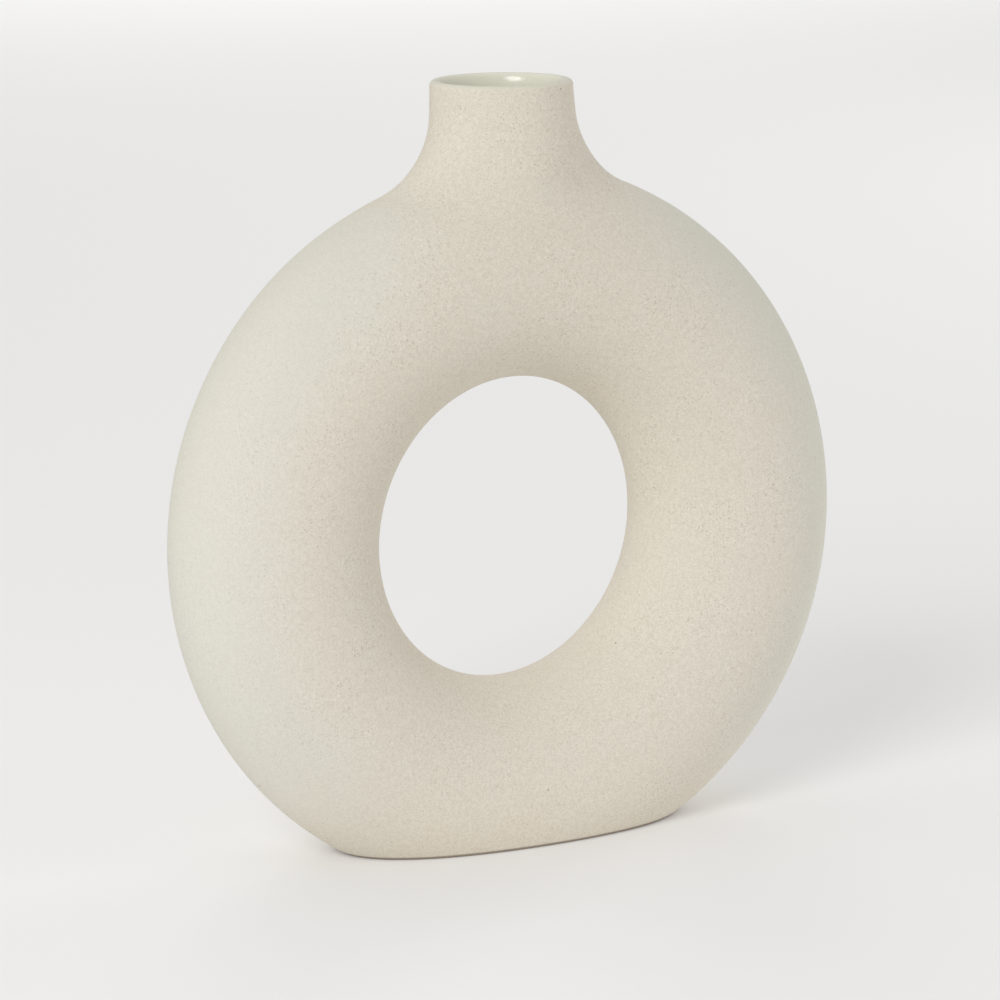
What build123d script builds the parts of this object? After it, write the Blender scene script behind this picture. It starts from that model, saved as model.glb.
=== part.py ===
from build123d import *
import math
import os

os.makedirs("parts", exist_ok=True)

# The ring: an upright hoop of elliptical section, its axis along Y, with a flat cut off its lowest part
ring_outer_radius = 134.0
hole_radius = 56.5
ring_depth = 69.5
foot_cut = 19.2
wall = 5.0

# The neck: a short tube on top of the ring, flared into the shoulder by a ball rolled round it
neck_radius = 26.6
neck_straight = 8.5
lip_wall = 4.5
lip_round_share = 0.42
outer_flare_radius = 34.0
inner_flare_radius = 26.0

# The foot: a flat slab with a shallow recess underneath
base_thickness = 8.0
foot_edge_radius = 2.0
foot_ring_width = 9.0
foot_recess_depth = 1.5

# The joints and the lining
slip_thickness = 0.8
collar_height = 27.4
glaze_thickness = 0.5
cut_overrun = 10.0

# Places that follow from the sizes
section_half_width = (ring_outer_radius - hole_radius) / 2
section_half_depth = ring_depth / 2
ring_centre_radius = (ring_outer_radius + hole_radius) / 2
ring_centre_height = ring_outer_radius - foot_cut
ball_reach = ring_outer_radius + outer_flare_radius
ball_offset = neck_radius + outer_flare_radius
flare_top = ring_centre_height + math.sqrt(ball_reach**2 - ball_offset**2)
overall_height = flare_top + neck_straight
lip_edge_radius = lip_wall * lip_round_share
lining_top = overall_height - lip_edge_radius
throat_radius = neck_radius - lip_wall
collar_bottom = overall_height - collar_height
shell_bottom = base_thickness + slip_thickness
shell_top = collar_bottom - slip_thickness
seam_half = slip_thickness / 2
foot_half_length = math.sqrt(ring_outer_radius**2 - ring_centre_height**2)
foot_depth_share = (ring_centre_height - ring_centre_radius) / section_half_width
foot_half_width = section_half_depth * math.sqrt(1 - foot_depth_share**2)


# The ring with its neck, every surface set in by the same distance, between a floor and a top.
# The section is drawn as a rear and a front half, which meet on the ring's middle plane, and the
# tube is turned a quarter so that its seam line keeps off that plane.
def ring_with_neck(inset, tube_radius, flare_radius, floor_height, top_height):
    section_centre = (ring_centre_radius, 0)
    half_width = section_half_width - inset
    half_depth = section_half_depth - inset
    tube_foot = ring_centre_height + ring_centre_radius
    with BuildPart() as form:
        with BuildSketch(Plane.XY.offset(ring_centre_height)):
            with BuildLine():
                EllipticalCenterArc(section_centre, half_width, half_depth, start_angle=0, arc_size=180)
                EllipticalCenterArc(section_centre, half_width, half_depth, start_angle=180, arc_size=180)
            make_face()
        revolve(axis=Axis((0, 0, ring_centre_height), (0, 1, 0)))
        with BuildSketch(Plane.XY.offset(tube_foot).rotated((0, 0, 90))):
            Circle(tube_radius)
        extrude(amount=top_height - tube_foot)
        fillet(form.edges().filter_by(GeomType.BSPLINE), flare_radius)
        split(bisect_by=Plane.XY.offset(floor_height), keep=Keep.TOP)
    return form.part


# The part of the current piece that lies between two heights
def keep_heights(low, high):
    split(bisect_by=Plane.XY.offset(low), keep=Keep.TOP)
    split(bisect_by=Plane.XY.offset(high), keep=Keep.BOTTOM)


outside = ring_with_neck(0, neck_radius, outer_flare_radius, 0, overall_height)
chamber = ring_with_neck(wall, throat_radius, inner_flare_radius, base_thickness, overall_height + cut_overrun)
lining = ring_with_neck(wall, throat_radius, inner_flare_radius, base_thickness, lining_top)
water_space = ring_with_neck(
    wall + glaze_thickness,
    throat_radius - glaze_thickness,
    inner_flare_radius + glaze_thickness,
    base_thickness + glaze_thickness,
    overall_height + cut_overrun,
)

# The clay all round the chamber, from which the pieces are cut
with BuildPart() as clay_wall:
    add(outside)
    add(chamber, mode=Mode.SUBTRACT)

# The ring's own wall, between the foot and the collar
with BuildPart() as ring_wall:
    add(clay_wall.part)
    keep_heights(shell_bottom, shell_top)

# The shells: front and rear part on the ring's middle plane, and each is a top with the root of the neck,
# a bottom with the way to the foot, and two sides, which meet face to face on slanted planes through the axis
rising_plane = Plane(origin=(0, 0, ring_centre_height), x_dir=(0, 1, 0), z_dir=(-1, 0, 1))
falling_plane = Plane(origin=(0, 0, ring_centre_height), x_dir=(0, 1, 0), z_dir=(1, 0, 1))
half_cuts = {"front": (Plane.XZ.offset(seam_half), Keep.TOP), "rear": (Plane.XZ.offset(-seam_half), Keep.BOTTOM)}
sector_cuts = {
    "top": (Keep.TOP, Keep.TOP),
    "left": (Keep.TOP, Keep.BOTTOM),
    "right": (Keep.BOTTOM, Keep.TOP),
    "bottom": (Keep.BOTTOM, Keep.BOTTOM),
}
for half_name, (half_plane, half_keep) in half_cuts.items():
    for sector_name, (rising_keep, falling_keep) in sector_cuts.items():
        shell_name = half_name + "_" + sector_name + "_shell"
        with BuildPart() as ring_shell:
            add(ring_wall.part)
            split(bisect_by=half_plane, keep=half_keep)
            split(bisect_by=rising_plane, keep=rising_keep)
            split(bisect_by=falling_plane, keep=falling_keep)
        ring_shell.part.label = shell_name
        export_step(ring_shell.part, "parts/" + shell_name + ".step")

# The slip between the front and rear shells: an arc down each side and a hoop round the hole
with BuildPart() as seam_slip:
    add(ring_wall.part)
    split(bisect_by=Plane.XZ.offset(seam_half), keep=Keep.BOTTOM)
    split(bisect_by=Plane.XZ.offset(-seam_half), keep=Keep.TOP)
left_arc, hole_hoop, right_arc = seam_slip.solids().sort_by(Axis.X)

with BuildPart() as left_seam_slip:
    add(left_arc)
left_seam_slip.part.label = "left_seam_slip"
export_step(left_seam_slip.part, "parts/left_seam_slip.step")

with BuildPart() as hole_seam_slip:
    add(hole_hoop)
hole_seam_slip.part.label = "hole_seam_slip"
export_step(hole_seam_slip.part, "parts/hole_seam_slip.step")

with BuildPart() as right_seam_slip:
    add(right_arc)
right_seam_slip.part.label = "right_seam_slip"
export_step(right_seam_slip.part, "parts/right_seam_slip.step")

# The neck with its rounded lip, and the slip that beds it on the shells
with BuildPart() as neck_collar:
    add(clay_wall.part)
    split(bisect_by=Plane.XY.offset(collar_bottom), keep=Keep.TOP)
    fillet(neck_collar.edges().group_by(Axis.Z)[-1], lip_edge_radius)
neck_collar.part.label = "neck_collar"
export_step(neck_collar.part, "parts/neck_collar.step")

with BuildPart() as neck_slip:
    add(clay_wall.part)
    keep_heights(shell_top, collar_bottom)
neck_slip.part.label = "neck_slip"
export_step(neck_slip.part, "parts/neck_slip.step")

# The flat base with its eased edge and the recess inside its foot ring, and the slip that beds the ring on it
with BuildPart() as foot_slab:
    add(outside)
    split(bisect_by=Plane.XY.offset(base_thickness), keep=Keep.BOTTOM)
    fillet(foot_slab.edges().group_by(Axis.Z)[0], foot_edge_radius)
    with BuildSketch(Plane.XY):
        Ellipse(foot_half_length - foot_ring_width, foot_half_width - foot_ring_width)
    extrude(amount=foot_recess_depth, mode=Mode.SUBTRACT)
foot_slab.part.label = "foot_slab"
export_step(foot_slab.part, "parts/foot_slab.step")

with BuildPart() as foot_slip:
    add(clay_wall.part)
    keep_heights(base_thickness, shell_bottom)
foot_slip.part.label = "foot_slip"
export_step(foot_slip.part, "parts/foot_slip.step")

# The glaze over the whole inside, from just under the lip's round
with BuildPart() as glaze_lining:
    add(lining)
    add(water_space, mode=Mode.SUBTRACT)
glaze_lining.part.label = "glaze_lining"
export_step(glaze_lining.part, "parts/glaze_lining.step")

print("overall height", round(overall_height, 2), "foot", round(2 * foot_half_length, 1), round(2 * foot_half_width, 1))
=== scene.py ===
import bpy
import numpy as np
from mathutils import Matrix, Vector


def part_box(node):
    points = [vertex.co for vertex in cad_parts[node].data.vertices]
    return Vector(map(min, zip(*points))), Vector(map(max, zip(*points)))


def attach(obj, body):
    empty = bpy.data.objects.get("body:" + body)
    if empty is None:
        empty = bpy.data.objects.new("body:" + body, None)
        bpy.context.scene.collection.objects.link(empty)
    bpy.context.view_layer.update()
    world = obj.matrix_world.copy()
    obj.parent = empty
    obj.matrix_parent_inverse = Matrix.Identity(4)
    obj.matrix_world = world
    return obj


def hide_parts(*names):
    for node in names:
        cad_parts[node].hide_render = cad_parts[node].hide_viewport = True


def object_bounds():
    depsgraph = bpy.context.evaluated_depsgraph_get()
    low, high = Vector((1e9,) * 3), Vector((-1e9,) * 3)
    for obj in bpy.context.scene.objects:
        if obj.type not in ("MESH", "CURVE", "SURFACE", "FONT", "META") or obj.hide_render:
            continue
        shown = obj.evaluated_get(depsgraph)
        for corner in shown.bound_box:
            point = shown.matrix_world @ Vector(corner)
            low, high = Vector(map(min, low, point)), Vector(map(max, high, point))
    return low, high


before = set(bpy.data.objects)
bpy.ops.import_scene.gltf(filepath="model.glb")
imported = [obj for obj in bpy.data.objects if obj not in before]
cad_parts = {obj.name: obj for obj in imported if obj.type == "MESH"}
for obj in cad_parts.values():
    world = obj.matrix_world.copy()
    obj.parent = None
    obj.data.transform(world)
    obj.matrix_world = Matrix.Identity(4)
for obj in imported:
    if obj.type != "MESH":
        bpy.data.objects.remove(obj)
cadBox = [[float(value) for value in corner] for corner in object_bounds()]
print("frame loaded, box", cadBox)

# Sizes in metres that several pieces share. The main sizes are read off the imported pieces.
clayWall = {"ring": 0.005, "lip": 0.0045, "glaze": 0.0005, "outerFlare": 0.034, "innerFlare": 0.026}
# How finely the surfaces are divided, and how the searches for points on them go
mesh = {
    "neckColumns": 96, "sideColumns": 110, "footColumns": 80,
    "ringRows": 48, "flareRows": 14, "tubeRows": 22, "arcRows": 10, "floorRows": 14,
    "newtonSteps": 14, "halvings": 50, "seamReach": 0.1, "seamTries": 101,
    "mergeStep": 1e-7, "leastFace": 1e-20,
}
up, down, toFront, toRear = (0, 0, 1), (0, 0, -1), (0, -1, 0), (0, 1, 0)


def boxOf(node):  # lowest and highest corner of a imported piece
    return [np.array(corner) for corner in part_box(node)]


boxLow, boxHigh = np.array(cadBox)
holeLow, holeHigh = boxOf("hole_seam_slip")
collarLow, collarHigh = boxOf("neck_collar")
topHeight, collarBottom = boxHigh[2], collarLow[2]
shellBottom, shellTop = boxOf("front_bottom_shell")[0][2], boxOf("front_top_shell")[1][2]
slabTop = boxOf("foot_slab")[1][2]
ringHeight = (holeLow[2] + holeHigh[2]) / 2
outerRadius = (boxHigh[0] - boxLow[0]) / 2
holeRadius = (holeHigh[2] - holeLow[2]) / 2 - clayWall["ring"]
ringRadius = (outerRadius + holeRadius) / 2
neckRadius = (collarHigh[1] - collarLow[1]) / 2
seamHalf = (holeHigh[1] - holeLow[1]) / 2


def skin(inset, tube, flare):  # one surface of the vase, set in from the outside
    halfWidth = (outerRadius - holeRadius) / 2 - inset
    halfDepth = (boxHigh[1] - boxLow[1]) / 2 - inset
    return {"a": halfWidth, "b": halfDepth, "tube": tube, "flare": flare}


throat, glaze = neckRadius - clayWall["lip"], clayWall["glaze"]
outerSkin = skin(0, neckRadius, clayWall["outerFlare"])
claySkin = skin(clayWall["ring"], throat, clayWall["innerFlare"])
waterSkin = skin(clayWall["ring"] + glaze, throat - glaze, clayWall["innerFlare"] + glaze)


def unit(vectors):
    return vectors / np.linalg.norm(vectors, axis=-1, keepdims=True)


def ringPoint(s, u, v):  # an ellipse of half sizes a and b at angle v, turned by u about the ring's axis
    u, v = np.broadcast_arrays(u, v)
    radius = ringRadius + s["a"] * np.cos(v)
    across = np.cos(v) / s["a"]
    point = np.stack([radius * np.cos(u), s["b"] * np.sin(v), ringHeight + radius * np.sin(u)], -1)
    normal = np.stack([across * np.cos(u), np.sin(v) / s["b"], across * np.sin(u)], -1)
    return point, unit(normal)


def nearestAngle(s, out, y):  # angle of the ellipse's point nearest to (out, y), by Newton's steps
    v = np.arctan2(y / s["b"], out / s["a"])
    for step in range(mesh["newtonSteps"]):
        c, d = np.cos(v), np.sin(v)
        offX, offY = s["a"] * c - out, s["b"] * d - y
        slope = offY * s["b"] * c - offX * s["a"] * d
        bend = (s["a"] * d) ** 2 + (s["b"] * c) ** 2 - offX * s["a"] * c - offY * s["b"] * d
        v = v - slope / bend
    return v


# A ball that touches the tube at phi sinks until it touches the ring: halving finds its height
def rollBall(s, phi):
    x, y = (s["tube"] + s["flare"]) * np.cos(phi), (s["tube"] + s["flare"]) * np.sin(phi)
    under = np.full(np.shape(phi), ringHeight + ringRadius)
    above = under + s["a"] + 2 * s["flare"]
    for step in range(mesh["halvings"]):
        z = (under + above) / 2
        out = np.hypot(x, z - ringHeight) - ringRadius
        v = nearestAngle(s, out, y)
        gap = np.hypot(out - s["a"] * np.cos(v), y - s["b"] * np.sin(v))
        clear = ((out / s["a"]) ** 2 + (y / s["b"]) ** 2 > 1) & (gap > s["flare"])
        under, above = np.where(clear, under, z), np.where(clear, z, above)
    return np.stack([x, y, z], -1), np.arctan2(z - ringHeight, x), v


def neckPoint(s, phi, z):  # up the ball's arc from the ring to the tube, then straight up the tube
    centre, u, v = rollBall(s, phi)
    toTube = np.stack([-np.cos(phi), -np.sin(phi), 0 * phi], -1)
    toRing = (ringPoint(s, u, v)[0] - centre) / s["flare"]
    span = np.arccos((toTube * toRing).sum(-1))[:, None]
    sunk = (z - centre[:, 2:]) * np.sin(span) / (s["flare"] * toRing[:, 2:])
    turn = np.arcsin(np.clip(sunk, 0, np.sin(span)))
    arc = np.sin(span - turn)[..., None] * toTube[:, None] + np.sin(turn)[..., None] * toRing[:, None]
    arc = arc / np.sin(span)[..., None]
    wall = -s["tube"] * toTube[:, None]
    tube = np.stack(np.broadcast_arrays(wall[..., 0], wall[..., 1], z), -1)
    straight = (z >= centre[:, 2:])[..., None]
    points = np.where(straight, tube, centre[:, None] + s["flare"] * arc)
    return points, np.where(straight, -toTube[:, None], -arc)


def footTurn(s, z, turn):  # the ring cut by a level plane: the section angle swings with the sine of turn
    drop = ringHeight - z
    v = np.arccos((drop - ringRadius) / s["a"]) * np.sin(turn)
    radius = ringRadius + s["a"] * np.cos(v)
    x = np.sign(np.cos(turn)) * np.sqrt(np.maximum(radius**2 - drop**2, 0))
    return np.arctan2(-drop, x) % (2 * np.pi), v


def footOutline(s, z, turn):  # the points of that cut
    return ringPoint(s, *footTurn(s, z, turn))


# The columns of the front half, anticlockwise from the right of the neck: angles, ends and stretches
def halfColumns(s, seam):
    edge = np.arcsin(seam / s["b"])
    trial = np.linspace(0, mesh["seamReach"], mesh["seamTries"])
    phiEdge = np.interp(edge, -rollBall(s, -trial)[2], trial)
    phi = -np.linspace(phiEdge, np.pi - phiEdge, mesh["neckColumns"] + 1)
    _, uNeck, vNeck = rollBall(s, phi)
    swing = footTurn(s, shellBottom, -np.pi / 2)[1]
    turnEdge = np.arcsin(edge / -swing)
    turn = np.linspace(turnEdge - np.pi, -turnEdge, mesh["footColumns"] + 1)
    uFoot, vFoot = footTurn(s, shellBottom, turn)
    uLeft = np.linspace(uNeck[-1], uFoot[0], mesh["sideColumns"] + 1)[1:-1]
    uRight = np.linspace(uFoot[-1], uNeck[0] + 2 * np.pi, mesh["sideColumns"] + 1)[1:-1]
    sideEnds = np.full(len(uLeft), -edge)
    u = np.concatenate([uNeck, uLeft, uFoot, uRight, uNeck[:1] + 2 * np.pi])
    vEnd = np.concatenate([vNeck, sideEnds, vFoot, sideEnds, vNeck[:1]])
    ends = np.cumsum([len(uNeck), len(uLeft), len(uFoot), len(uRight)])
    return {
        "edge": edge, "phi": phi, "turn": turn, "u": u, "vEnd": vEnd,
        "left": slice(ends[0] - 1, ends[1] + 1),
        "foot": slice(ends[1], ends[2]),
        "right": slice(ends[2] - 1, ends[3] + 1),
    }


def halfSkin(s, columns, top):  # the front half of the ring from hole to rim, and its flare up to a height
    rows = np.linspace(0, 1, mesh["ringRows"] + 1)
    vStart = columns["edge"] - np.pi
    ring = ringPoint(s, columns["u"][:, None], vStart + (columns["vEnd"][:, None] - vStart) * rows)
    _, u, v = rollBall(s, columns["phi"])
    foot = ringPoint(s, u, v)[0][:, 2:]
    flare = neckPoint(s, columns["phi"], foot + (top - foot) * np.linspace(0, 1, mesh["flareRows"] + 1))
    return ring, flare


# The neck was set on by hand: over the flare it bends a little to the right and swells, then draws in
byHand = {
    "right": 0.00095, "swell": 0.0008, "drawIn": 0.00055,
    "root": (0.215, 0.250), "flareTop": (0.232, 0.252), "tube": (0.252, 0.280), "step": 1e-5,
}


def ease(z, low, high):  # nothing below low and one above high, in an even S
    share = np.clip((z - low) / (high - low), 0, 1)
    return share * share * (3 - 2 * share)


def neckDrift(z):  # how far to the right the neck stands at a height, and by what share it is wider than true
    lip = ease(z, *byHand["tube"])
    right = byHand["right"] * (ease(z, *byHand["root"]) - lip)
    wider = byHand["swell"] * ease(z, *byHand["flareTop"]) - (byHand["swell"] + byHand["drawIn"]) * lip
    return np.stack([right, wider / neckRadius])


def settle(points, normals):  # points move with the drift at their height, and normals turn with its slope
    x, y, z = np.moveaxis(points, -1, 0)
    step = byHand["step"]
    right, wider = neckDrift(z)
    slopeRight, slopeWider = (neckDrift(z + step) - neckDrift(z - step)) / (2 * step)
    moved = np.stack([x * (1 + wider) + right, y * (1 + wider), z], -1)
    if normals.ndim == 1:
        return moved, normals
    outX, outY = normals[..., 0] / (1 + wider), normals[..., 1] / (1 + wider)
    outZ = normals[..., 2] - (slopeRight + x * slopeWider) * outX - y * slopeWider * outY
    return moved, unit(np.stack([outX, outY, outZ], -1))


def flipped(patch):  # the same surface seen from its other side
    return patch[0], -patch[1]


def mirrored(patches, axis):  # the same patches on the other side of the middle plane across an axis
    sign = np.ones(3)
    sign[axis] = -1
    return [(points * sign, normals * sign) for points, normals in patches]


def band(first, second, facing):  # a strip between two lines, with the way that it faces
    return np.stack([first, second], 1), np.array(facing, float)


# One closed mesh from grids of points, welded where they meet, with their own normals
def buildPiece(name, patches):
    points, corners, normals, count = [], [], [], 0
    for grid, normal in (settle(*patch) for patch in patches):
        index = count + np.arange(grid.shape[0] * grid.shape[1]).reshape(grid.shape[:2])
        quads = np.stack([index[:-1, :-1], index[1:, :-1], index[1:, 1:], index[:-1, 1:]], -1).reshape(-1, 4)
        flat = grid.reshape(-1, 3)
        count += len(flat)
        points.append(flat)
        corner = flat[quads - index[0, 0]]
        face = np.cross(corner[:, 2] - corner[:, 0], corner[:, 3] - corner[:, 1])
        if normal.ndim == 1:
            toward = np.broadcast_to(normal, face.shape)
            sign = np.sign((face * toward).sum())
            loops = np.broadcast_to((unit(face + mesh["leastFace"] * toward) * sign)[:, None], corner.shape)
        else:
            loops = normal.reshape(-1, 3)[quads - index[0, 0]]
            sign = np.sign((face * loops.mean(1)).sum())
        if sign < 0:
            quads, loops = quads[:, ::-1], loops[:, ::-1]
        corners.append(quads)
        normals.append(loops)
    points, corners, normals = np.concatenate(points), np.concatenate(corners), np.concatenate(normals)
    cells = np.round(points / mesh["mergeStep"]).astype(np.int64)
    _, first, weld = np.unique(cells, axis=0, return_index=True, return_inverse=True)
    corners = weld.reshape(-1)[corners]
    keep = corners != np.roll(corners, -1, axis=1)  # a pole's quads lose the corner that they share
    sound = keep.sum(1) > 2
    corners, keep, normals = corners[sound], keep[sound], normals[sound]
    faces = [quad[held].tolist() for quad, held in zip(corners, keep)]
    data = bpy.data.meshes.new(name)
    data.from_pydata(points[first].tolist(), [], faces)
    data.polygons.foreach_set("use_smooth", np.ones(len(faces), bool))
    data.normals_split_custom_set(normals[keep].tolist())
    piece = bpy.data.objects.new(name, data)
    bpy.context.scene.collection.objects.link(piece)
    return piece


def closedLoop(front, turns):  # front angles, then the seam's middle, the rear ones and the other middle
    return np.concatenate([front, turns[:1], -front[::-1], turns[1:], front[:1]])


def neckLoop(columns):
    return closedLoop(columns["phi"], np.array([-np.pi, 0]))


def footLoop(columns):
    return closedLoop(columns["turn"], np.array([0, np.pi]))


outerColumns, clayColumns = halfColumns(outerSkin, seamHalf), halfColumns(claySkin, seamHalf)
outerHalf = halfSkin(outerSkin, outerColumns, shellTop)
clayHalf = halfSkin(claySkin, clayColumns, shellTop)
print("surfaces worked out")


def shellPatches():  # the half ring: outer and inner surface, and the faces along its joints
    (ring, flare), (ringIn, flareIn) = outerHalf, clayHalf
    rim, rimIn = ring[0][:, -1], ringIn[0][:, -1]
    joints = [band(ring[0][:, 0], ringIn[0][:, 0], toRear)]
    joints += [band(rim[outerColumns[side]], rimIn[clayColumns[side]], toRear) for side in ("left", "right")]
    joints += [band(flare[0][end], flareIn[0][end], toRear) for end in (0, -1)]
    joints += [band(rim[outerColumns["foot"]], rimIn[clayColumns["foot"]], down)]
    joints += [band(flare[0][:, -1], flareIn[0][:, -1], up)]
    return [ring, flare, flipped(ringIn), flipped(flareIn)] + joints


# A layer of slip: outside, inside, and the joint faces along its first and last line
def slipLayer(outside, inside, first, last):
    joints = [band(outside[0][:, end], inside[0][:, end], facing) for end, facing in ((0, first), (-1, last))]
    return [outside, flipped(inside)] + joints


def seamLines(s, columns):  # three lines along the right seam, from the foot up the rim and the flare
    side = columns["u"][columns["right"]][:-1]
    sections = np.array([-columns["edge"], 0, columns["edge"]])
    low = ringPoint(s, side[:, None], sections)
    turns = np.array([columns["phi"][0], 0, -columns["phi"][0]])
    _, u, v = rollBall(s, turns)
    start = ringPoint(s, u, v)[0][:, 2:]
    high = neckPoint(s, turns, start + (shellTop - start) * np.linspace(0, 1, mesh["flareRows"] + 1))
    return tuple(np.concatenate([a, b.swapaxes(0, 1)]) for a, b in zip(low, high))


def sideSeamPatches():  # the slip down the right rim, with its two ends
    outside, inside = seamLines(outerSkin, outerColumns), seamLines(claySkin, clayColumns)
    ends = [band(outside[0][0], inside[0][0], down), band(outside[0][-1], inside[0][-1], up)]
    return slipLayer(outside, inside, toFront, toRear) + ends


def holeSeamPatches():  # the slip round the hole: a hoop between the two half rings
    grids = []
    for s, columns in ((outerSkin, outerColumns), (claySkin, clayColumns)):
        sections = np.pi + np.array([columns["edge"], 0, -columns["edge"]])
        grids.append(ringPoint(s, columns["u"][:, None], sections))
    return slipLayer(*grids, toFront, toRear)


def neckSeamPatches():  # the level slip bed under the collar
    heights = np.array([[shellTop, collarBottom]])
    outside = neckPoint(outerSkin, neckLoop(outerColumns), heights)
    inside = neckPoint(claySkin, neckLoop(clayColumns), heights)
    return slipLayer(outside, inside, down, up)


def footSeamPatches():  # the level slip bed between the half rings and the foot
    heights = np.array([slabTop, shellBottom])
    outside = footOutline(outerSkin, heights, footLoop(outerColumns)[:, None])
    inside = footOutline(claySkin, heights, footLoop(clayColumns)[:, None])
    return slipLayer(outside, inside, down, up)


# The lip: a round outside, and an inner edge that slopes down into the bore
lipEdge = {"round": 0.0019, "mouthWide": 0.0019, "mouthTall": 0.008}
lipStart, mouthStart = topHeight - lipEdge["round"], topHeight - lipEdge["mouthTall"]


def carried(level, along):  # level parts of points or directions, with the profile's upright part beside them
    upright = np.broadcast_to(along[None, :, None], level.shape[:2] + (1,))
    return np.concatenate([level, upright], -1)


def turned(phi, radius, height, outward, upward):  # a profile of radius and height carried round the neck
    spoke = np.stack([np.cos(phi), np.sin(phi)], -1)[:, None]
    points = carried(spoke * radius[None, :, None], height)
    return points, carried(spoke * outward[None, :, None], upward)


# A quarter ellipse from the wall up to the crest, where side is 1 outside and -1 inside
def lipArc(phi, centre, start, wide, tall, side):
    lean = np.linspace(0, np.pi / 2, mesh["arcRows"] + 1)
    outward, upward = side * np.cos(lean) / wide, np.sin(lean) / tall
    size = np.hypot(outward, upward)
    radius, height = centre + side * wide * np.cos(lean), start + tall * np.sin(lean)
    return turned(phi, radius, height, outward / size, upward / size)


def collarPatches():  # up the outside, over the lip, down the bore, and the joint face
    phi, phiIn = neckLoop(outerColumns), neckLoop(clayColumns)
    shares = np.linspace(0, 1, mesh["tubeRows"] + 1)[None]
    outside = neckPoint(outerSkin, phi, collarBottom + (lipStart - collarBottom) * shares)
    inside = neckPoint(claySkin, phiIn, collarBottom + (mouthStart - collarBottom) * shares)
    rounded, wide, tall = lipEdge["round"], lipEdge["mouthWide"], lipEdge["mouthTall"]
    outerLip = lipArc(phi, neckRadius - rounded, lipStart, rounded, rounded, 1)
    innerLip = lipArc(phiIn, throat + wide, mouthStart, wide, tall, -1)
    crest = band(outerLip[0][:, -1], innerLip[0][:, -1], up)
    joint = band(outside[0][:, 0], inside[0][:, 0], down)
    return [outside, outerLip, crest, innerLip, flipped(inside), joint]


def disc(outline, height, facing):  # a level face from an outline in to its middle
    shares = np.linspace(0, 1, mesh["floorRows"] + 1)[None, :, None]
    grid = np.broadcast_to(outline[:, None], outline.shape[:1] + (mesh["floorRows"] + 1, 3)) * shares
    grid[..., 2] = height
    return grid, np.array(facing, float)


footBase = {"edgeRound": 0.0013, "ringWidth": 0.009, "recess": 0.0015, "recessRound": 0.0006}


def slabPatches():  # the foot: level top, the ring's own side, eased edge, foot ring and recess
    turn = footLoop(outerColumns)
    eased, recess, small = footBase["edgeRound"], footBase["recess"], footBase["recessRound"]
    # the eased edge: directions swing from the wall's own to straight down, about a line set in by the round
    core, lean = footOutline(skin(eased, neckRadius, eased), eased, turn)
    steps = np.linspace(0, 1, mesh["arcRows"] + 1)
    sweep, floorward = steps[None, :, None], np.array(down, float)
    span = np.arccos(lean @ floorward)[:, None, None]
    way = (np.sin((1 - sweep) * span) * lean[:, None] + np.sin(sweep * span) * floorward) / np.sin(span)
    edge = core[:, None] + eased * way, way
    side = footOutline(outerSkin, slabTop + (edge[0][:, :1, 2] - slabTop) * steps, turn[:, None])
    side[0][:, -1] = edge[0][:, 0]
    # the recess: an ellipse inside the foot ring, with a quarter round at its edge
    outline = np.abs(footOutline(outerSkin, 0.0, np.array([0.0, np.pi / 2]))[0]).max(0)[:2]
    half = outline - footBase["ringWidth"]
    curl = np.linspace(0, np.pi / 2, mesh["arcRows"] + 1)
    grow, climb = small * (1 - np.sin(curl)), small * (1 - np.cos(curl))
    around = np.stack([np.cos(turn), np.sin(turn)], -1)[:, None]
    bead = carried(around * (half + grow[:, None]), climb)
    inward = carried(-around * np.sin(curl)[:, None], -np.cos(curl))
    ceiling = bead[:, -1] * (1, 1, 0) + (0, 0, recess)
    rise = np.stack([bead[:, -1], ceiling], 1), np.repeat(inward[:, -1:], 2, 1)
    ring = band(edge[0][:, -1], bead[:, 0], down)
    top, roof = disc(side[0][:, 0], slabTop, up), disc(ceiling, recess, down)
    return [top, side, edge, ring, (bead, inward), rise, roof]


linerGlaze = {"colour": (0.77, 0.755, 0.635, 1), "roughness": 0.17, "atCrest": 0.00003}


# The glaze: against the clay, towards the water, over the lip's inner edge and on the floor
def liningPatches():
    patches, lips = [], []
    for s, floor, facing in ((claySkin, slabTop, 1), (waterSkin, slabTop + glaze, -1)):
        columns = halfColumns(s, 0)
        columns["u"][columns["foot"]], columns["vEnd"][columns["foot"]] = footTurn(s, floor, columns["turn"])
        half = list(halfSkin(s, columns, mouthStart))
        both = half + mirrored(half, 1)
        patches += both if facing > 0 else [flipped(patch) for patch in both]
        front = half[0][0][:, -1][columns["foot"]]
        loop = np.concatenate([front, front[::-1] * (1, -1, 1)])
        patches.append(disc(loop, floor, (0, 0, -facing)))
        phi = np.concatenate([columns["phi"], -columns["phi"][::-1]])
        centre = throat + lipEdge["mouthWide"]
        tall = lipEdge["mouthTall"] + (0 if facing > 0 else linerGlaze["atCrest"])
        lip = lipArc(phi, centre, mouthStart, centre - s["tube"], tall, -1)
        lips.append(lip)
        patches.append(flipped(lip) if facing > 0 else lip)
    crest = np.stack([lips[0][0][:, -1], lips[1][0][:, -1]], 1)
    return patches + [(crest, -np.repeat(lips[0][1][:, :1], 2, 1))]


# Patterns are laid out in millimetres. The grain values are shares of the radius that is asked for.
pattern = {"scale": 1000.0, "noise": 0.55, "grainVaries": 0.6, "grainLeast": 0.7, "grainSoft": 0.25}
mixFactor, mixFirst, mixSecond, mixColour = 0, 6, 7, 2  # a Mix node's sockets for colours, and its output


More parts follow.
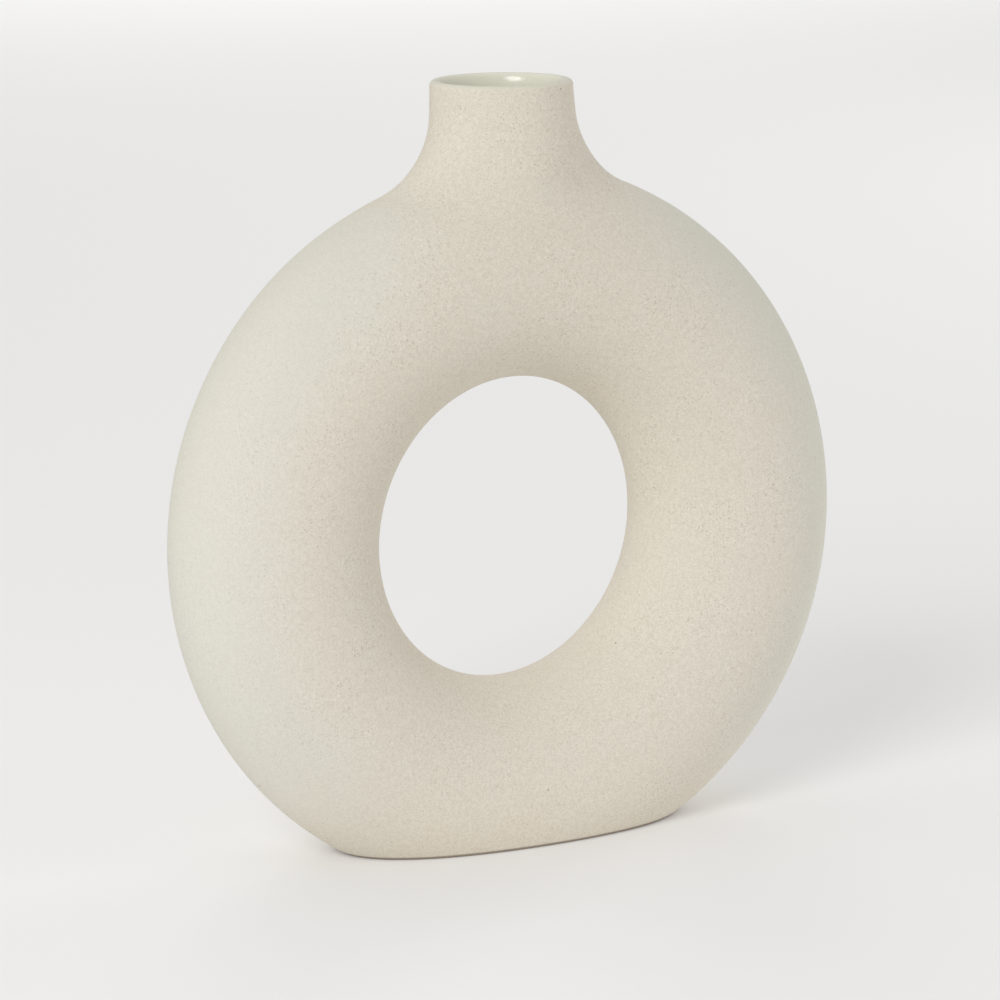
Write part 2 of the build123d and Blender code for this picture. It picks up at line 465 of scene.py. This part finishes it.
class Wire:  # a shader socket that takes part in sums, and makes any other node in its tree
    def __init__(self, tree, socket=None):
        self.tree, self.socket = tree, socket

    def make(self, kind, settings=None, sockets=None, out=0):
        node = self.tree.nodes.new(kind)
        for key, value in (settings or {}).items():
            setattr(node, key, value)
        for key, value in (sockets or {}).items():
            if isinstance(value, Wire):
                self.tree.links.new(value.socket, node.inputs[key])
            else:
                node.inputs[key].default_value = value
        return Wire(self.tree, node.outputs[out] if node.outputs else None)

    def sum(self, operation, first, second):
        return self.make("ShaderNodeMath", {"operation": operation}, {0: first, 1: second})

    def __add__(self, other): return self.sum("ADD", self, other)
    def __radd__(self, other): return self.sum("ADD", other, self)
    def __sub__(self, other): return self.sum("SUBTRACT", self, other)
    def __rsub__(self, other): return self.sum("SUBTRACT", other, self)
    def __mul__(self, other): return self.sum("MULTIPLY", self, other)
    def __rmul__(self, other): return self.sum("MULTIPLY", other, self)
    def above(self, level): return self.sum("GREATER_THAN", self, level)

    def other(self, name):  # another output of the same node
        return Wire(self.tree, self.socket.node.outputs[name])

    def fade(self, low, high):  # one below low, nothing above high, eased between
        return self.make("ShaderNodeMapRange", {"interpolation_type": "SMOOTHSTEP"},
                         {"Value": self, "From Min": low, "From Max": high, "To Min": 1.0, "To Max": 0.0})

    def mix(self, kind, first, second):
        return self.make("ShaderNodeMix", {"data_type": "RGBA", "blend_type": kind},
                         {mixFactor: self, mixFirst: first, mixSecond: second}, mixColour)

    def blend(self, first, second):  # from the first colour to the second as this goes from 0 to 1
        return self.mix("MIX", first, second)

    def tint(self, colour, shade):  # a colour multiplied by a shade, the more the nearer this is to 1
        return self.mix("MULTIPLY", colour, shade)

    def millimetres(self):
        sockets = {0: self.make("ShaderNodeTexCoord", out="Object"), "Scale": pattern["scale"]}
        return self.make("ShaderNodeVectorMath", {"operation": "SCALE"}, sockets)

    def cloud(self, size, detail, offset):  # soft noise with features of a size in millimetres
        place = self.make("ShaderNodeVectorMath", {"operation": "ADD"}, {0: self.millimetres(), 1: offset})
        return self.make("ShaderNodeTexNoise", None, {
            "Vector": place, "Scale": 1 / size, "Detail": detail, "Roughness": pattern["noise"]})

    def clouds(self, large, small):  # two clouds, each taken by its share
        (largeShare, *largeForm), (smallShare, *smallForm) = large, small
        return largeShare * self.cloud(*largeForm) + smallShare * self.cloud(*smallForm)

    def grains(self, size, radius, share):  # round grains in some of the cells of a scatter
        cell = self.make("ShaderNodeTexVoronoi", None, {"Vector": self.millimetres(), "Scale": 1 / size})
        lot = self.make("ShaderNodeSeparateColor", None, {0: cell.other("Color")})
        shares = [pattern[key] for key in ("grainVaries", "grainLeast", "grainSoft")]
        varies, least, soft = (part * radius / size for part in shares)
        spot = (cell - (lot.other("Green") * varies + least)).fade(-soft, soft)
        return spot * lot.above(1 - share)


def newMaterial(name):
    material = bpy.data.materials.new(name)
    material.use_nodes = True
    material.node_tree.nodes.clear()
    return material, Wire(material.node_tree)


def finishMaterial(wire, sockets):
    shader = wire.make("ShaderNodeBsdfPrincipled", None, sockets)
    wire.make("ShaderNodeOutputMaterial", None, {"Surface": shader})


stoneware = {  # lengths in millimetres, and a cloud is its size, detail and offset
    # the rim colour is painted cool side light, laid over the ring's outer rim
    "face": (0.733, 0.683, 0.592, 1), "rim": (0.712, 0.706, 0.63, 1),
    "rimRadius": (88.0, 132.0), "rimSideways": (25.0, 80.0), "rimHeight": (-20.0, 50.0),
    "rimCoolLight": 0.64, "driftHue": 0.9, "faceHue": 0.33,
    "drift": ((0.6, 38.0, 2.0, (0, 0, 0)), (0.4, 9.0, 3.0, (70, 20, 5))),
    "shadow": (0.93, 0.92, 0.905, 1), "light": (1.045, 1.045, 1.04, 1),
    "mottle": ((0.7, 0.6, 1.0, (0, 0, 0)), (0.3, 1.6, 1.0, (11, 3, 8))), "mottleRange": (0.36, 0.64),
    "rimSmooth": 0.45, "rimBare": 0.5,
    "sandPatch": (24.0, 2.0, (5, 40, 9)), "patchRange": (0.4, 0.62), "patchLeast": 0.45, "patchVaries": 0.8,
    "paleGrain": (0.88, 0.85, 0.78, 1), "darkGrain": (0.40, 0.33, 0.25, 1), "fleck": (0.2, 0.155, 0.12, 1),
    "sand": (("paleGrain", 1.5, 0.4, 0.5), ("darkGrain", 1.05, 0.3, 0.4), ("darkGrain", 2.3, 0.36, 0.3)),
    "sandStrength": 0.3, "flecks": (13.0, 0.45, 0.25), "fleckStrength": 0.6,
    "upper": (0.95, 0.945, 0.93, 1), "upperRange": (60.0, 260.0),
    "lower": (1.06, 1.045, 1.035, 1), "lowerRange": (0.0, 60.0),
    # the foot edge colour is a painted contact shadow along the foot's lowest millimetre and a half
    "footContactShade": (0.30, 0.25, 0.21, 1), "footShadeRange": (0.7, 1.5), "footShadeStrength": 0.8,
    "glaze": (0.70, 0.68, 0.565, 1), "glazeReach": 0.5, "glazeBelow": 0.9, "glazeAbove": 0.4,
    "wander": 1.6, "wanderCloud": (3.0, 2.0, (0, 0, 0)),
    "roughness": 0.9, "lipGloss": 0.55, "specular": 0.25, "bump": 0.06, "bumpDepth": 0.001,
}


def sandyStoneware():
    material, wire = newMaterial("sandyStoneware")
    look, place = stoneware, wire.millimetres()
    height = wire.make("ShaderNodeSeparateXYZ", None, {0: place}, "Z")
    sideways = wire.make("ShaderNodeMath", {"operation": "ABSOLUTE"}, {0: height.other("X")})
    fromAxis = wire.make("ShaderNodeVectorMath", {"operation": "MULTIPLY_ADD"},
                         {0: place, 1: (1, 0, 1), 2: (0, 0, -pattern["scale"] * ringHeight)})
    radius = wire.make("ShaderNodeVectorMath", {"operation": "LENGTH"}, {0: fromAxis}, "Value")
    # painted light: along the ring's outer rim the colour is tinted cooler and greener for the cool light
    # that falls on the sides, and the clay's own tone drifts a little everywhere
    rim = (1 - radius.fade(*look["rimRadius"])) * (1 - sideways.fade(*look["rimSideways"]))
    rim = rim * (1 - height.fade(*look["rimHeight"]))
    drift = wire.clouds(*look["drift"])
    hue = look["rimCoolLight"] * rim + look["driftHue"] * drift - look["faceHue"]
    clay = hue.blend(look["face"], look["rim"])
    # sand: a fine mottle all over, pale and dark grains in it, and a few flecks
    mottle = wire.clouds(*look["mottle"])
    shade = (1 - mottle.fade(*look["mottleRange"])).blend(look["shadow"], look["light"])
    clay = (1 - look["rimSmooth"] * rim).tint(clay, shade)
    patch = 1 - wire.cloud(*look["sandPatch"]).fade(*look["patchRange"])
    dense = (1 - look["rimBare"] * rim) * (look["patchLeast"] + look["patchVaries"] * patch)
    for colour, *grain in look["sand"]:
        clay = (look["sandStrength"] * dense * wire.grains(*grain)).blend(clay, look[colour])
    clay = (look["fleckStrength"] * wire.grains(*look["flecks"])).blend(clay, look["fleck"])
    # darker towards the neck, lighter low down, and a painted contact shadow: a dark line where the foot
    # meets the floor
    clay = (1 - height.fade(*look["upperRange"])).tint(clay, look["upper"])
    clay = height.fade(*look["lowerRange"]).tint(clay, look["lower"])
    clay = (look["footShadeStrength"] * height.fade(*look["footShadeRange"])).tint(clay, look["footContactShade"])
    # the glaze runs out over the lip, with an edge that wanders up and down
    edge = topHeight * pattern["scale"] - look["glazeReach"]
    wandering = height + look["wander"] * wire.cloud(*look["wanderCloud"]) - look["wander"] / 2
    lip = 1 - wandering.fade(edge - look["glazeBelow"], edge + look["glazeAbove"])
    clay = lip.blend(clay, look["glaze"])
    rough = look["roughness"] - look["lipGloss"] * lip
    bump = wire.make("ShaderNodeBump", None, {
        "Strength": look["bump"], "Distance": look["bumpDepth"], "Height": (1 - lip) * mottle})
    finishMaterial(wire, {
        "Base Color": clay, "Roughness": rough, "Specular IOR Level": look["specular"], "Normal": bump})
    return material


def creamGlaze():
    material, wire = newMaterial("creamGlaze")
    finishMaterial(wire, {"Base Color": linerGlaze["colour"], "Roughness": linerGlaze["roughness"]})
    return material


stonewareFinish, glazeFinish = sandyStoneware(), creamGlaze()
halfShell, sideSeam = shellPatches(), sideSeamPatches()


def shellNodes(half):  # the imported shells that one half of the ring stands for
    return [half + "_" + place + "_shell" for place in ("top", "left", "right", "bottom")]


pieces = [
    ("frontShell", shellNodes("front"), halfShell, stonewareFinish, "sandy_stoneware"),
    ("rearShell", shellNodes("rear"), mirrored(halfShell, 1), stonewareFinish, "sandy_stoneware"),
    ("neckCollar", ["neck_collar"], collarPatches(), stonewareFinish, "sandy_stoneware"),
    ("footSlab", ["foot_slab"], slabPatches(), stonewareFinish, "sandy_stoneware"),
    ("rightSeam", ["right_seam_slip"], sideSeam, stonewareFinish, "luting_slip"),
    ("leftSeam", ["left_seam_slip"], mirrored(sideSeam, 0), stonewareFinish, "luting_slip"),
    ("holeSeam", ["hole_seam_slip"], holeSeamPatches(), stonewareFinish, "luting_slip"),
    ("neckSeam", ["neck_slip"], neckSeamPatches(), stonewareFinish, "luting_slip"),
    ("footSeam", ["foot_slip"], footSeamPatches(), stonewareFinish, "luting_slip"),
    ("glazeLining", ["glaze_lining"], liningPatches(), glazeFinish, "cream_glaze"),
]
for name, nodes, patches, finish, slot in pieces:
    piece = buildPiece(name, patches)
    piece.data.materials.append(finish)
    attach(piece, "root")
    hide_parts(*nodes)
    print(name, len(piece.data.polygons), "faces")

studio = {  # a shooting table that glows a little, a soft room and soft boxes
    "floorHalf": 9.0, "floorColour": (0.76, 0.753, 0.745, 1), "floorRoughness": 0.9, "floorSpecular": 0.1,
    "floorGlow": 0.138, "white": (1, 1, 1, 1), "roomStrength": 0.475,
    "aim": (0, 0, 0.12), "seenInGlaze": ("key", "left"),
    "lights": {  # place, size and power of each soft box
        "key": ((-1.8, -1.36, 1.5), 1.25, 27),
        "left": ((-2.2, -0.9, 1.4), 0.9, 5),
        "right": ((2.3, -1.5, 0.45), 0.8, 10),
        "back": ((1.9, 3.9, 1.9), 2.6, 39),
        "top": ((-0.6, 1.2, 2.4), 3.0, 10),
        "rearRight": ((2.4, 0.8, 0.65), 1.2, 12),
    },
}


def paleFloor():
    material, wire = newMaterial("paleFloor")
    finishMaterial(wire, {
        "Base Color": studio["floorColour"], "Roughness": studio["floorRoughness"],
        "Specular IOR Level": studio["floorSpecular"],
        "Emission Color": studio["white"], "Emission Strength": studio["floorGlow"]})
    reach = studio["floorHalf"] * np.array([-1.0, 1.0])
    x, y = np.meshgrid(reach, reach, indexing="ij")
    floor = buildPiece("paleFloor", [(np.stack([x, y, 0 * x], -1), np.array(up, float))])
    floor.data.materials.append(material)


# The axes of something at a place that looks at an aim, turned about its line of sight
def lookFrom(place, aim, roll=0.0):
    back = unit(np.subtract(place, aim))
    right = unit(np.cross(up, back))
    above = np.cross(back, right)
    c, d = np.cos(roll), np.sin(roll)
    axes = np.stack([c * right + d * above, c * above - d * right, back], 1)
    matrix = np.eye(4)
    matrix[:3, :3], matrix[:3, 3] = axes, place
    return Matrix(matrix.tolist())


def softLights():
    for name, (place, size, power) in studio["lights"].items():
        light = bpy.data.lights.new(name + "Light", "AREA")
        light.shape, light.size, light.energy = "DISK", size, power
        lamp = bpy.data.objects.new(name + "Light", light)
        lamp.matrix_world = lookFrom(place, studio["aim"])
        lamp.visible_glossy = name in studio["seenInGlaze"]
        bpy.context.scene.collection.objects.link(lamp)
    world = bpy.data.worlds.new("softRoom")
    world.use_nodes = True
    room = world.node_tree.nodes["Background"]
    room.inputs["Color"].default_value = studio["white"]
    room.inputs["Strength"].default_value = studio["roomStrength"]
    bpy.context.scene.world = world


photoView = {
    "azimuth": -28.456, "elevation": 11.603, "distance": 1.7, "aim": (0, 0, 0.1148), "roll": -0.661,
    "lens": 165.895, "sensor": 36, "shift": (-0.0063, 0.02655), "clip": (0.1, 50),
}


def photoCamera():
    azimuth, elevation, roll = np.radians([photoView[key] for key in ("azimuth", "elevation", "roll")])
    level = np.array([np.sin(azimuth), -np.cos(azimuth), 0.0])
    back = level * np.cos(elevation) + np.array(up) * np.sin(elevation)
    data = bpy.data.cameras.new("photoCamera")
    data.lens, data.sensor_width = photoView["lens"], photoView["sensor"]
    data.shift_x, data.shift_y = photoView["shift"]
    data.clip_start, data.clip_end = photoView["clip"]
    camera = bpy.data.objects.new("photoCamera", data)
    camera.matrix_world = lookFrom(photoView["aim"] + back * photoView["distance"], photoView["aim"], roll)
    bpy.context.scene.collection.objects.link(camera)
    bpy.context.scene.camera = camera


paleFloor()
softLights()
photoCamera()
bpy.context.scene.view_settings.view_transform = "Standard"
print("stage, light and camera set")
